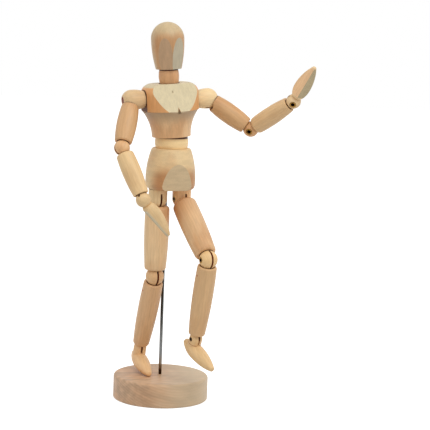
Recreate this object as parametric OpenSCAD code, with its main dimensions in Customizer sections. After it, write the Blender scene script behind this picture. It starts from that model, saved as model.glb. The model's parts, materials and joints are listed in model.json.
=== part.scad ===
// Wooden artist mannequin on a round base, posed standing on its right toe.
// Millimetres. Z is up, the figure looks towards -Y and its left side is +X.

/* [Stand] */
// Diameter of the base
base_d = 76; // [70:1:90]
// Height of the base
base_h = 19; // [14:1:24]
// Rounding of the base's top edge
base_round = 2; // [1:0.5:4]
// Diameter of the support rod
rod_d = 2.5; // [2:0.1:3.2]
// Depth of the rod in the base
rod_seat = 13; // [8:1:13]
// Length of the rod inside the pelvis
rod_grip = 22; // [16:1:24]
// Distance of the rod behind the middle of the pelvis
rod_offset = 9.4; // [8.5:0.1:10.5]
// Distance of the rod from the middle of the base, towards the figure's right
rod_side = 0.7; // [0:0.1:2]

/* [Torso] */
// Height of the pelvis
pelvis_h = 32.4; // [31.6:0.1:35]
// Largest diameter of the pelvis
pelvis_d = 39.4; // [38:0.1:42]
// Diameter of the pelvis at the waist
pelvis_top_d = 30.6; // [30:0.1:32]
// Height of the pelvis's widest place
pelvis_wide_z = 8; // [7:0.5:10]
// Rounding of the pelvis's lower edge
pelvis_round = 3; // [2:0.5:4]
// Diameter of the waist barrel
waist_d = 26.4; // [25:0.1:27]
// Open height between pelvis and chest
waist_gap = 9.5; // [9:0.1:11]
// Height of the chest
chest_h = 41.7; // [41:0.1:44]
// Diameter of the chest
chest_d = 45.4; // [44.6:0.1:46.4]
// Diameter of the chest at the waist
chest_low_d = 30.6; // [30:0.1:32]
// Height of the pectoral edge above the chest's lower end
pectoral_z = 21; // [19:0.1:22]
// Rounding of the chest's top edge
chest_round = 8; // [6:0.5:9]
// Width across the two shoulder flats
chest_flat_w = 43; // [42:0.1:43.6]
// Diameter of the neck barrel
neck_d = 16; // [15:0.1:16.4]
// Radius of the neck barrel's round ends
neck_end_r = 9.5; // [9:0.1:10]
// Open height between chest and head
neck_gap = 11.2; // [10.6:0.1:11.8]
// Height of the head
head_h = 36.6; // [35:0.1:38]
// Largest diameter of the head
head_d = 26.1; // [25:0.1:28]
// Diameter of the head's lower end
head_low_d = 20.2; // [19.8:0.1:22]
// Height of the face's two planed facets above the head's lower end
face_h = 24.5; // [22:0.5:26]

/* [Arms] */
// Diameter of the shoulder ball
shoulder_d = 16.2; // [15.4:0.1:16.6]
// Diameter of the shoulder ball where it meets the chest
shoulder_low_d = 13.2; // [12:0.1:14]
// Distance of the shoulder's centre from the chest's middle
shoulder_x = 31.6; // [31:0.1:34]
// Height of the shoulder's centre above the chest's lower end
shoulder_z = 29; // [28.5:0.1:30]
// How far the right shoulder is bored above that height, and the left one below it
shoulder_skew = 1.6; // [0:0.1:1.8]
// Length of the upper arm, centre to centre
upper_arm_l = 42; // [41:0.5:46]
// Largest diameter of the upper arm
upper_arm_d = 15.8; // [15:0.1:16.2]
// Diameter of the upper arm at the elbow
upper_arm_low_d = 13.1; // [12.8:0.1:13.6]
// Diameter of the elbow ball
elbow_d = 12.3; // [11.8:0.1:12.6]
// Length of the forearm, centre to centre
forearm_l = 44; // [43:0.5:48]
// Largest diameter of the forearm
forearm_d = 14.8; // [14:0.1:15.4]
// Distance from the elbow's centre down to there
forearm_wide = 19; // [15:0.5:22]
// Diameter of the forearm at the wrist
forearm_low_d = 11.8; // [11.4:0.1:12.4]
// Diameter of the wrist ball
wrist_d = 11.6; // [11.2:0.1:12]
// Length of the hand from the wrist's centre
hand_l = 36; // [34:0.5:40]
// Largest diameter of the hand
hand_d = 12.8; // [11.6:0.1:13.4]
// Distance from the wrist's centre to the hand's widest place
hand_wide = 14.5; // [13:0.5:17]

/* [Legs] */
// Distance of each hip's centre from the pelvis's middle
hip_x = 10; // [9.6:0.1:11]
// Distance of the hip's centre below the pelvis
hip_drop = 8.1; // [7.6:0.1:9]
// Diameter of the hip ball
hip_d = 14.8; // [14.4:0.1:15.4]
// Length of the thigh, centre to centre
thigh_l = 62; // [60:0.5:68]
// Largest diameter of the thigh
thigh_d = 19.6; // [18.6:0.1:20]
// Distance from the hip's centre down to there
thigh_wide = 22; // [18:0.5:30]
// Diameter of the thigh at the knee
thigh_low_d = 16.8; // [16.4:0.1:17.6]
// Diameter of the knee ball
knee_d = 14.5; // [14:0.1:15]
// Length of the shin, centre to centre
shin_l = 68; // [66:0.5:74]
// Largest diameter of the shin
shin_d = 16.2; // [15.8:0.1:17]
// Distance from the knee's centre down to there
shin_wide = 26; // [20:0.5:30]
// Diameter of the shin at the ankle
shin_low_d = 12.9; // [12.4:0.1:13.6]
// Diameter of the ankle stub
ankle_d = 10.4; // [10:0.1:11]
// Length of the foot
foot_l = 41; // [39:0.5:44]
// Width of the foot
foot_w = 12.4; // [11.4:0.1:13]
// Distance of the heel behind the ankle
heel_back = 11.5; // [10.5:0.5:12.5]
// Distance from the ankle forward to the foot's widest place
foot_wide = 6; // [4:0.5:8]
// Distance of the foot's middle line below the ankle
foot_drop = 9.8; // [9.4:0.1:10.2]
// Distance of the sole below the ankle
sole_drop = 13; // [12.4:0.1:13.4]

/* [Joint hardware] */
// Distance from a hip or knee centre to the wood of the limb
leg_rim = 5.3; // [5.1:0.1:5.6]
// Distance from the ankle's centre to the shin
ankle_rim = 3.9; // [3.7:0.1:4.2]
// Distance from a shoulder, elbow or wrist centre to the wood of the limb
arm_rim = 4.7; // [4.6:0.1:5]
// Width of the slot in each ball
slot_w = 1.6; // [1.5:0.1:1.8]
// Thickness of the steel tongues
tongue_t = 1; // [0.8:0.1:1]
// Depth of a tongue in its limb, past the rim
tongue_grip = 10; // [8:0.5:11]
// Width of the hip and knee tongues
leg_tongue_w = 5; // [4.5:0.1:5.6]
// Width of the shoulder, elbow, wrist and ankle tongues
arm_tongue_w = 3.8; // [3.4:0.1:4]
// Outer diameter of the hip and knee rivets
leg_rivet_d = 3.2; // [2.8:0.1:3.4]
// Outer diameter of the other rivets and of the shoulder pin
arm_rivet_d = 2.6; // [2.4:0.1:2.8]
// Head diameter of the hip, knee, elbow and wrist rivets
rivet_head_d = 5.2; // [4.6:0.1:5.4]
// Head diameter of the ankle rivet
ankle_head_d = 3.6; // [3.4:0.1:3.8]
// Thickness of a rivet head
rivet_head_t = 0.5; // [0.4:0.1:0.6]
// Wall of a hollow rivet
rivet_wall = 0.4; // [0.3:0.1:0.5]
// Diameter of the hip, knee and shoulder stems
leg_stem_d = 5; // [4.4:0.1:5.4]
// Diameter of the elbow, wrist and ankle stems
arm_stem_d = 3.4; // [3:0.1:3.8]
// Length of a stem in the wood
stem_l = 13; // [11:0.5:14]
// Diameter of the cross pin in the shin
cross_pin_d = 1.6; // [1.4:0.1:1.8]
// Diameter of the spring plugs
plug_d = 10; // [9.6:0.1:10.4]
// Mean diameter of the two springs
spring_d = 6; // [5.6:0.1:6.2]
// Wire diameter of the two springs
wire_d = 1; // [0.8:0.1:1]
// Turns of the spine spring
spine_turns = 22; // [18:1:23]
// Turns of the neck spring
neck_turns = 15; // [12:1:16]

/* [Clearances] */
// Gap between a ball and its seat
seat_gap = 0.3; // [0.25:0.05:0.4]
// Radial play of a stem, rivet or rod in its bore
run_gap = 0.06; // [0.04:0.01:0.1]
// Play at the end of a stem and at its collar
end_gap = 0.3; // [0.2:0.05:0.4]
// Gap between the right toe and the base
toe_gap = 0.3; // [0.2:0.05:0.5]

/* [Pose of the body] */
// Turn of the pelvis on its rod
pelvis_turn = 20; // [-10:1:30]
// Forward bend at the waist
waist_bend = 0; // [-5:1:10]
// Lean to the right at the waist
waist_lean = 4.5; // [-5:0.5:6]
// Twist of the chest on the waist
waist_twist = 0; // [-10:1:8]
// Forward nod of the neck
neck_nod = 0; // [-10:1:10]
// Lean of the head to the right
neck_lean = -0.5; // [-8:0.5:8]
// Turn of the head
neck_turn = -2.5; // [-40:0.5:40]

/* [Pose of the right arm] */
// Forward swing of the arm
right_swing = 29; // [15:0.5:40]
// Sideways raise of the arm
right_raise = 22; // [15:0.5:40]
// Swivel of the elbow
right_elbow_swivel = 95.5; // [60:0.5:110]
// Bend of the elbow
right_elbow_bend = 34; // [20:0.5:50]
// Swivel of the wrist
right_wrist_swivel = 40; // [20:0.5:90]
// Bend of the wrist
right_wrist_bend = 33; // [10:0.5:50]

/* [Pose of the left arm] */
// Forward swing of the arm
left_swing = 30.5; // [10:0.5:40]
// Sideways raise of the arm
left_raise = 45.5; // [35:0.5:60]
// Swivel of the elbow
left_elbow_swivel = 31; // [20:0.5:60]
// Bend of the elbow
left_elbow_bend = 71; // [40:0.5:74]
// Swivel of the wrist
left_wrist_swivel = -11.5; // [-30:0.5:30]
// Bend of the wrist
left_wrist_bend = 23; // [0:0.5:40]

/* [Pose of the right leg] */
// Swivel of the hip
right_hip_swivel = 4.5; // [2:0.5:8]
// Forward lift of the thigh
right_hip_lift = -1; // [-3:0.5:1]
// Swivel of the knee
right_knee_swivel = -1; // [-4:1:4]
// Bend of the knee
right_knee_bend = 21; // [17:1:25]
// Swivel of the ankle
right_ankle_swivel = -4; // [-10:1:4]
// Downward point of the toe
right_ankle_point = -8; // [-14:1:8]

/* [Pose of the left leg] */
// Swivel of the hip
left_hip_swivel = 8.5; // [2:0.5:15]
// Forward lift of the thigh
left_hip_lift = 48; // [35:0.5:60]
// Swivel of the knee
left_knee_swivel = -1; // [-10:1:10]
// Bend of the knee
left_knee_bend = 62.5; // [40:0.5:66]
// Swivel of the ankle
left_ankle_swivel = 6; // [-10:1:18]
// Downward point of the toe
left_ankle_point = 9; // [-8:1:20]

/* [Hidden] */

$fn = 56;
// Fineness of the very large circles that give the turned pieces their gentle curves
arc_fn = 1440;
// A length longer than any cut needs to be
far = 60;

// Sides of the figure
right = -1;
left = 1;

// Colours of the woods and metals
pale_wood = "#e6c79a";
mid_wood = "#d9b48a";
warm_wood = "#d8a778";
base_wood = "#c9a487";
steel = "#8d9296";
brass = "#b08d45";

// Radii that several pieces share
shoulder_r = shoulder_d / 2;
elbow_r = elbow_d / 2;
wrist_r = wrist_d / 2;
hip_r = hip_d / 2;
knee_r = knee_d / 2;
ankle_r = ankle_d / 2;
waist_r = waist_d / 2;
leg_tongue_r = leg_tongue_w / 2 + 1.7;
arm_tongue_r = arm_tongue_w / 2 + 1;
slot_play = 0.5;
// Angle by which a hand bends back
wrist_back = 9;
plug_r = plug_d / 2;
spigot_r = (spring_d - wire_d) / 2 - 0.1;
stem_collar = 0.6;
stem_collar_h = 1.6;
// Distance of the chest's planed face from its axis, at the pectoral edge
chest_face_d = chest_d / 2 - 1.5;
// The same at the chest's top
chest_face_top_d = 10;
// Height of the lower ends of the shoulder flats
shoulder_flat_z = min(pectoral_z, shoulder_z - shoulder_skew - shoulder_low_d / 2 - seat_gap) - 2;
// Depth of the face's facets at the head's lower end
face_cut = 0.95;
// Width of the flat lip under the pectoral edge
pectoral_lip = 0.4;
// Height and depth of the notch in the pectoral edge
notch_h = 4;
notch_deep = 1.2;
// Half the length over which a spring bends
spring_flex = 5;

// Heights on the spine, from the pelvis's underside and from the chest's lower end
waist_z = pelvis_h + waist_gap / 2;
neck_z = waist_gap / 2 + chest_h + neck_gap / 2;
waist_seat_r = waist_r + seat_gap;
neck_seat_r = neck_end_r + seat_gap;
plug_l = 8;
plug_lift = 2;
spigot_l = 4;
// Distance from the waist's centre down to the fixed plug and up to the swivel plug
spine_down = waist_seat_r + 8;
spine_up = waist_seat_r + plug_lift;
// The same for the neck
neck_down = neck_seat_r + 6;
neck_up = neck_seat_r + plug_lift;

// Foot: its two ends from the widest place, and points along the underside of the toe
toe_tip = 1.7;
heel_tip = 2;
toe_run = foot_l - heel_back - foot_wide;
heel_run = heel_back + foot_wide;
// Moves as matrices
function shift(x, y, z) = [[1, 0, 0, x], [0, 1, 0, y], [0, 0, 1, z], [0, 0, 0, 1]];
function turn_x(a) = [[1, 0, 0, 0], [0, cos(a), -sin(a), 0], [0, sin(a), cos(a), 0], [0, 0, 0, 1]];
function turn_y(a) = [[cos(a), 0, sin(a), 0], [0, 1, 0, 0], [-sin(a), 0, cos(a), 0], [0, 0, 0, 1]];
function turn_z(a) = [[cos(a), -sin(a), 0, 0], [sin(a), cos(a), 0, 0], [0, 0, 1, 0], [0, 0, 0, 1]];

// The value for one side of the figure
function on(s, r, l) = s == right ? r : l;

// Leg, from the pelvis down
function hip_in_pelvis(s) =
    shift(s * hip_x, 0, -hip_drop) * turn_z(on(s, right_hip_swivel, left_hip_swivel));
function thigh_in_pelvis(s) = hip_in_pelvis(s) * turn_x(-on(s, right_hip_lift, left_hip_lift));
function knee_in_pelvis(s) =
    thigh_in_pelvis(s) * shift(0, 0, -thigh_l) * turn_z(on(s, right_knee_swivel, left_knee_swivel));
function shin_in_pelvis(s) = knee_in_pelvis(s) * turn_x(on(s, right_knee_bend, left_knee_bend));
function ankle_in_pelvis(s) =
    shin_in_pelvis(s) * shift(0, 0, -shin_l) * turn_z(on(s, right_ankle_swivel, left_ankle_swivel));
function foot_in_pelvis(s) = ankle_in_pelvis(s) * turn_x(on(s, right_ankle_point, left_ankle_point));

// The right toe stands on the base, which sets the height of the pelvis
toe_r = arc_radius(foot_w / 2 - toe_tip, toe_run);
toe_points = [
    for (y = [0 : 0.05 : 1])
    let (half = arc_r(toe_r, foot_w / 2, 0, y * toe_run))
    [0, -foot_wide - y * toe_run, max(-sole_drop, -foot_drop - half), 1]
];
toe_below_pelvis = min([for (p = toe_points) (foot_in_pelvis(right) * p)[2]]);
pelvis_z = base_h + toe_gap - toe_below_pelvis;

// Torso, from the base up
pelvis_at = shift(-rod_side, 0, 0) * turn_z(pelvis_turn) * shift(0, -rod_offset, pelvis_z);
waist_at = pelvis_at * shift(0, 0, waist_z) * turn_x(waist_bend);
spine_at = waist_at * turn_y(-waist_lean);
chest_at = spine_at * turn_z(waist_twist);
neck_at = chest_at * shift(0, 0, neck_z) * turn_x(neck_nod);
neck_plug_at = neck_at * turn_y(-neck_lean);
head_at = neck_plug_at * turn_z(neck_turn);

function hip_at(s) = pelvis_at * hip_in_pelvis(s);
function thigh_at(s) = pelvis_at * thigh_in_pelvis(s);
function knee_at(s) = pelvis_at * knee_in_pelvis(s);
function shin_at(s) = pelvis_at * shin_in_pelvis(s);
function ankle_at(s) = pelvis_at * ankle_in_pelvis(s);
function foot_at(s) = pelvis_at * foot_in_pelvis(s);

// Arm, from the chest out
function shoulder_at(s) =
    chest_at * shift(s * shoulder_x, 0, waist_gap / 2 + shoulder_z - s * shoulder_skew)
    * turn_x(-on(s, right_swing, left_swing));
function upper_arm_at(s) = shoulder_at(s) * turn_y(-s * on(s, right_raise, left_raise));
function elbow_at(s) =
    upper_arm_at(s) * shift(0, 0, -upper_arm_l) * turn_z(on(s, right_elbow_swivel, left_elbow_swivel));
function forearm_at(s) = elbow_at(s) * turn_x(-on(s, right_elbow_bend, left_elbow_bend));
function wrist_at(s) =
    forearm_at(s) * shift(0, 0, -forearm_l) * turn_z(on(s, right_wrist_swivel, left_wrist_swivel));
function hand_at(s) = wrist_at(s) * turn_x(-on(s, right_wrist_bend, left_wrist_bend));

// Radius of the circle that sinks by sag over a run
function arc_radius(sag, run) = (run * run + sag * sag) / (2 * sag);
// Radius of a turned piece at height z, on an arc that is widest at z_wide
function arc_r(r, r_wide, z_wide, z) = r_wide - r + sqrt(r * r - (z - z_wide) * (z - z_wide));

// Shapes that several pieces share

// The waste outside a rounded corner of an outline; up is 1 at a top edge and -1 at a lower one
module corner_waste(x, z, r, up) {
    translate([x - r, z - up * r])
    difference() {
        translate([0, up > 0 ? 0 : -r - 1])
        square([r + 1, r + 1]);
        circle(r);
    }
}

// Turned barrel that hangs from the joint above it; all heights are measured down from that joint
module turned_limb(top, low, d_wide, z_wide, d_low, top_round, low_round) {
    r = arc_radius((d_wide - d_low) / 2, low - z_wide);
    rotate_extrude($fn = 96)
    difference() {
        intersection() {
            translate([d_wide / 2 - r, -z_wide])
            circle(r, $fn = arc_fn);
            translate([0, -low])
            square([d_wide, low - top]);
        }
        corner_waste(arc_r(r, d_wide / 2, -z_wide, -top), -top, top_round, 1);
        corner_waste(arc_r(r, d_wide / 2, -z_wide, -low), -low, low_round, -1);
    }
}

// Everything in front of a planed face, which lies low_d before the axis at low_z and high_d at high_z
module planed_waste(low_d, low_z, high_d, high_z) {
    translate([0, -low_d, low_z])
    rotate([atan2(high_d - low_d, high_z - low_z), 0, 0])
    translate([-far, -far, -far])
    cube([2 * far, far, 2 * far]);
}

// Half of a leaf's outline, from its widest line down to its tip, where it is still tip wide each way
module leaf_half(half_w, run, tip) {
    r = arc_radius(half_w - tip, run);
    intersection() {
        translate([half_w - r, 0])
        circle(r, $fn = arc_fn / 4);
        translate([0, -run])
        square([half_w, run]);
        translate([0, 2 * tip - run]) {
            square([half_w, run]);
            circle(2 * tip);
        }
    }
}

// Turned leaf with its widest line at z = 0
module leaf(half_w, down, down_tip, up, up_tip) {
    rotate_extrude($fn = 96) {
        leaf_half(half_w, down, down_tip);
        mirror([0, 1])
        leaf_half(half_w, up, up_tip);
    }
}

// Steel tongue: an eye at the pivot and a strap down into the limb
module tongue_plate(w, r, l, hole_r) {
    linear_extrude(tongue_t, center = true)
    difference() {
        union() {
            circle(r);
            translate([-w / 2, -l])
            square([w, l]);
        }
        circle(hole_r);
    }
}

// Tongue that swings about X
module tongue(w, r, l, hole_r) {
    rotate([90, 0, 90])
    tongue_plate(w, r, l, hole_r);
}

// Pocket that holds the strap of a tongue
module tongue_pocket(w, l) {
    translate([-tongue_t / 2, -w / 2, -l])
    cube([tongue_t, w, l]);
}

// Slot for a tongue, open at the bottom, front and back of a ball
module slot(ball_r, top) {
    translate([-slot_w / 2, -ball_r, -far])
    cube([slot_w, 2 * ball_r, far + top]);
}

// Swivel stem with a collar that keeps it in the wood; it points up from start
module stem(r, start, end) {
    translate([0, 0, start])
    cylinder(r = r, h = end - start);
    translate([0, 0, end - 2 * stem_collar_h])
    cylinder(r = r + stem_collar, h = stem_collar_h);
}

// Bore for that stem
module stem_bore(r, start, end) {
    translate([0, 0, start])
    cylinder(r = r + run_gap, h = end - start + end_gap);
    translate([0, 0, end - 2 * stem_collar_h - end_gap])
    cylinder(r = r + stem_collar + run_gap, h = stem_collar_h + 2 * end_gap);
}

// Distance from a ball's centre to the underside of its rivet head
function rivet_seat(ball_r, head_r) = sqrt(ball_r * ball_r - head_r * head_r) - rivet_head_t;

// Turn so that +Z points to the inner side of a limb
module inward(s) {
    rotate([0, -s * 90, 0])
    children();
}

// Blind hole and head seat for a rivet driven in from the inner side
module rivet_hole(ball_r, rivet_r, head_r, s) {
    seat = rivet_seat(ball_r, head_r);
    inward(s) {
        translate([0, 0, -seat + 1])
        cylinder(r = rivet_r, h = 2 * seat);
        translate([0, 0, seat])
        cylinder(r = head_r, h = ball_r);
    }
}

// Hollow rivet with a rounded head
module rivet(ball_r, rivet_r, head_r, s) {
    seat = rivet_seat(ball_r, head_r);
    inward(s)
    difference() {
        union() {
            translate([0, 0, -seat + 1])
            cylinder(r = rivet_r, h = 2 * seat - 1 + rivet_head_t / 2);
            translate([0, 0, seat])
            rotate_extrude()
            rivet_head_outline(head_r);
        }
        translate([0, 0, -seat + 2])
        cylinder(r = rivet_r - rivet_wall, h = 2 * seat);
    }
}

module rivet_head_outline(head_r) {
    square([head_r - rivet_head_t, rivet_head_t]);
    intersection() {
        translate([head_r - rivet_head_t, 0])
        circle(rivet_head_t);
        square([head_r, rivet_head_t]);
    }
}

// Plug with a spigot that points up into its spring
module spring_plug(r, l) {
    translate([0, 0, -l])
    cylinder(r = r, h = l);
    cylinder(r = spigot_r, h = spigot_l);
}

// Point on a spring whose axis bends and leans smoothly about the joint at z = 0
function spring_point(a, z, side_a, bend, lean) =
    let (
        r = spring_d / 2 + wire_d / 2 * cos(side_a),
        h = z + wire_d / 2 * sin(side_a),
        along = max(0, min(1, (h + spring_flex) / (2 * spring_flex))),
        share = along * along * (3 - 2 * along),
        p = turn_x(bend * share) * turn_y(-lean * share) * [r * cos(a), r * sin(a), h, 1]
    )
    [p[0], p[1], p[2]];

// Coil spring of one unbroken wire from z = -down to z = up
module coil_spring(down, up, turns, bend, lean) {
    sides = 6;
    per_turn = 14;
    count = turns * per_turn;
    low = -down + wire_d / 2;
    rise = (up + down - wire_d) / count;
    points = [
        for (i = [0 : count])
        for (k = [0 : sides - 1])
        spring_point(i * 360 / per_turn, low + i * rise, k * 360 / sides, bend, lean)
    ];
    walls = [
        for (i = [0 : count - 1])
        for (k = [0 : sides - 1])
        let (a = i * sides + k, b = i * sides + (k + 1) % sides)
        each [[a, a + sides, b], [b, a + sides, b + sides]]
    ];
    start_cap = [for (k = [0 : sides - 1]) k];
    end_cap = [for (k = [sides - 1 : -1 : 0]) count * sides + k];
    polyhedron(points, concat(walls, [start_cap], [end_cap]));
}

// Stand

module base() {
    color(base_wood)
    difference() {
        rotate_extrude()
        difference() {
            square([base_d / 2, base_h]);
            corner_waste(base_d / 2, base_h, base_round, 1);
            corner_waste(base_d / 2, 0, base_round / 2, -1);
        }
        translate([-rod_side, 0, base_h - rod_seat])
        cylinder(d = rod_d, h = rod_seat + 1);
    }
}

module support_rod() {
    color(steel)
    translate([-rod_side, 0, base_h - rod_seat])
    cylinder(d = rod_d, h = rod_seat + pelvis_z - base_h + rod_grip);
}

// Torso

module pelvis_outline() {
    r = arc_radius((pelvis_d - pelvis_top_d) / 2, pelvis_h - pelvis_wide_z);
    low_r = arc_r(r, pelvis_d / 2, pelvis_wide_z, 0);
    difference() {
        intersection() {
            translate([pelvis_d / 2 - r, pelvis_wide_z])
            circle(r, $fn = arc_fn);
            square([pelvis_d, pelvis_h]);
        }
        corner_waste(low_r, 0, pelvis_round, -1);
        corner_waste(pelvis_top_d / 2, pelvis_h, 1, 1);
    }
}

module pelvis() {
    plug_top = waist_z - spine_down;
    color(mid_wood)
    multmatrix(pelvis_at)
    difference() {
        rotate_extrude()
        pelvis_outline();
        planed_waste(14.7, 0, 18.5, 21);
        translate([0, 0, waist_z])
        sphere(waist_seat_r);
        translate([0, 0, plug_top - plug_l])
        cylinder(r = plug_r, h = spine_down);
        translate([0, rod_offset, -1])
        cylinder(d = rod_d + 2 * run_gap, h = rod_grip + 1 + end_gap);
        for (s = [right, left])
        translate([s * hip_x, 0, 0])
        stem_bore(leg_stem_d / 2, -1, stem_l);
    }
}

module pelvis_plug() {
    color(pale_wood)
    multmatrix(pelvis_at)
    translate([0, 0, waist_z - spine_down])
    spring_plug(plug_r, plug_l);
}

module spine_spring() {
    color(steel)
    multmatrix(pelvis_at * shift(0, 0, waist_z))
    coil_spring(spine_down, spine_up, spine_turns, waist_bend, waist_lean);
}

module waist() {
    half_h = waist_r * 0.72;
    color(mid_wood)
    multmatrix(waist_at)
    difference() {
        intersection() {
            sphere(waist_r);
            cube([far, far, 2 * half_h], center = true);
        }
        cylinder(r = plug_r, h = far, center = true);
    }
}

module spine_plug() {
    color(pale_wood)
    multmatrix(spine_at)
    translate([0, 0, spine_up])
    mirror([0, 0, 1])
    swivel_plug();
}

// Plug that turns in its bore, with a collar that keeps it there
module swivel_plug() {
    spring_plug(plug_r, plug_l);
    translate([0, 0, -plug_l / 2 - stem_collar_h / 2])
    cylinder(r = plug_r + stem_collar, h = stem_collar_h);
}

// Bore for that plug, from the seat upwards
module swivel_plug_bore(start) {
    cylinder(r = plug_r + run_gap, h = start + plug_l + end_gap);
    translate([0, 0, start + plug_l / 2 - stem_collar_h / 2 - end_gap])
    cylinder(r = plug_r + stem_collar + run_gap, h = stem_collar_h + 2 * end_gap);
}

module chest_outline() {
    cove_r = arc_radius((chest_d - chest_low_d) / 2 - pectoral_lip, pectoral_z);
    difference() {
        square([chest_d / 2, chest_h]);
        corner_waste(chest_d / 2, chest_h, chest_round, 1);
        intersection() {
            translate([chest_low_d / 2 + cove_r, 0])
            circle(cove_r, $fn = arc_fn / 4);
            translate([0, -1])
            square([chest_d, pectoral_z + 1]);
        }
    }
}

module chest() {
    color(pale_wood)
    multmatrix(chest_at)
    translate([0, 0, waist_gap / 2])
    difference() {
        rotate_extrude()
        chest_outline();
        // Upper front, back and the two shoulder flats
        planed_waste(chest_face_d, pectoral_z, chest_face_top_d, chest_h);
        rotate([0, 0, 180])
        planed_waste(19, pectoral_z, 10, chest_h);
        for (s = [right, left])
        translate([s * (chest_flat_w / 2 + far), 0, shoulder_flat_z + far])
        cube([2 * far, 2 * far, 2 * far], center = true);
        // Small pointed notch in the middle of the pectoral edge
        translate([0, -chest_face_d, pectoral_z])
        rotate([atan2(chest_face_top_d - chest_face_d, chest_h - pectoral_z), 0, 0])
        translate([0, 0, -notch_h])
        cylinder(r1 = 2 * notch_deep, r2 = 0, h = 2 * notch_h, $fn = 4);
        // Seats and bores of the waist and neck
        translate([0, 0, -waist_gap / 2])
        sphere(waist_seat_r);
        translate([0, 0, -waist_gap / 2])
        swivel_plug_bore(spine_up);
        translate([0, 0, chest_h + neck_gap / 2])
        sphere(neck_seat_r);
        translate([0, 0, chest_h + neck_gap / 2 - neck_down - plug_l / 2])
        cylinder(r = plug_r, h = far);
        for (s = [right, left])
        translate([s * chest_flat_w / 2, 0, shoulder_z - s * shoulder_skew])
        inward(s)
        stem_bore(leg_stem_d / 2, -1, stem_l);
    }
}

module chest_plug() {
    color(pale_wood)
    multmatrix(chest_at)
    translate([0, 0, neck_z - neck_down])
    spring_plug(plug_r, plug_l / 2);
}

module neck_spring() {
    color(steel)
    multmatrix(chest_at * shift(0, 0, neck_z))
    coil_spring(neck_down, neck_up, neck_turns, neck_nod, neck_lean);
}

module neck() {
    bulge_r = arc_radius(0.7, neck_gap / 2);
    color(warm_wood)
    multmatrix(neck_at)
    difference() {
        intersection() {
            sphere(neck_end_r);
            rotate_extrude()
            intersection() {
                translate([neck_d / 2 - bulge_r, 0])
                circle(bulge_r, $fn = arc_fn / 4);
                translate([0, -neck_end_r])
                square([neck_d, 2 * neck_end_r]);
            }
        }
        cylinder(d = spring_d + 2 * wire_d + 1, h = far, center = true);
    }
}

module neck_plug() {
    color(pale_wood)
    multmatrix(neck_plug_at)
    translate([0, 0, neck_up])
    mirror([0, 0, 1])
    swivel_plug();
}

module head_outline() {
    top_r = head_d / 2;
    crown_z = head_h - top_r;
    cheek_r = arc_radius((head_d - head_low_d) / 2, crown_z);
    intersection() {
        square([head_d, head_h]);
        union() {
            translate([0, crown_z])
            circle(top_r, $fn = 96);
            intersection() {
                translate([top_r - cheek_r, crown_z])
                circle(cheek_r, $fn = arc_fn);
                square([head_d, crown_z]);
            }
        }
    }
}

module head() {
    facet_turn = 27.5;
    color(pale_wood)
    multmatrix(head_at)
    difference() {
        translate([0, 0, neck_gap / 2])
        difference() {
            rotate_extrude()
            head_outline();
            // The two planed faces
            for (s = [right, left])
            rotate([0, 0, s * facet_turn])
            planed_waste(head_low_d / 2 - face_cut, 0, head_d / 2, face_h);
        }
        sphere(neck_seat_r);
        swivel_plug_bore(neck_up);
    }
}

// Arms; s is the side of the figure

module mirrored(s) {
    mirror([s == right ? 1 : 0, 0, 0])
    children();
}

// Bulging bullet with a small flat at its round end
module shoulder_outline(inner) {
    r = arc_radius((shoulder_d - shoulder_low_d) / 2, inner);
    intersection() {
        translate([shoulder_r - r, 0])
        circle(r, $fn = arc_fn / 4);
        translate([0, -inner])
        square([shoulder_r, inner]);
    }
    intersection() {
        circle(shoulder_r);
        square([shoulder_r, shoulder_r - 0.9]);
    }
}

module shoulder_ball(s) {
    inner = shoulder_x - chest_flat_w / 2 - seat_gap;
    eye = arm_tongue_r + slot_play;
    color(pale_wood)
    multmatrix(shoulder_at(s))
    mirrored(s)
    difference() {
        union() {
            rotate([0, 90, 0])
            rotate_extrude()
            shoulder_outline(inner);
            rotate([0, -90, 0])
            stem(leg_stem_d / 2, inner - 1, inner + seat_gap + stem_l);
        }
        // Slot below and at the outer end
        translate([-eye, -slot_w / 2, -far])
        cube([far, slot_w, far + eye]);
        shoulder_pin_hole();
    }
}

// Blind hole from the back
module shoulder_pin_hole() {
    translate([0, -shoulder_r + 3, 0])
    rotate([-90, 0, 0])
    cylinder(d = arm_rivet_d, h = 2 * shoulder_r);
}

module shoulder_pin(s) {
    color(steel)
    multmatrix(shoulder_at(s))
    intersection() {
        shoulder_pin_hole();
        sphere(shoulder_r);
    }
}

module upper_arm(s) {
    low = upper_arm_l - arm_rim;
    seat_r = shoulder_r + seat_gap;
    color(mid_wood)
    multmatrix(upper_arm_at(s))
    difference() {
        turned_limb(arm_rim, low, upper_arm_d, upper_arm_l / 2, upper_arm_low_d, 1, 0.8);
        sphere(seat_r);
        mirrored(s)
        rotate([0, -90, 0])
        cylinder(r = seat_r, h = far);
        rotate([0, 0, 90])
        tongue_pocket(arm_tongue_w, shoulder_r + tongue_grip);
        translate([0, 0, -upper_arm_l]) {
            sphere(elbow_r + seat_gap);
            stem_bore(arm_stem_d / 2, 0, elbow_r + stem_l);
        }
    }
}

module shoulder_tongue(s) {
    color(steel)
    multmatrix(upper_arm_at(s))
    rotate([0, 0, 90])
    tongue(arm_tongue_w, arm_tongue_r, shoulder_r + tongue_grip, arm_rivet_d / 2 + run_gap);
}

module elbow_ball(s) {
    color(mid_wood)
    multmatrix(elbow_at(s))
    difference() {
        union() {
            sphere(elbow_r);
            stem(arm_stem_d / 2, 0, elbow_r + stem_l);
        }
        slot(elbow_r, arm_tongue_r + slot_play);
        rivet_hole(elbow_r, arm_rivet_d / 2, rivet_head_d / 2, s);
    }
}

module elbow_rivet(s) {
    color(brass)
    multmatrix(elbow_at(s))
    rivet(elbow_r, arm_rivet_d / 2, rivet_head_d / 2, s);
}

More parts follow.
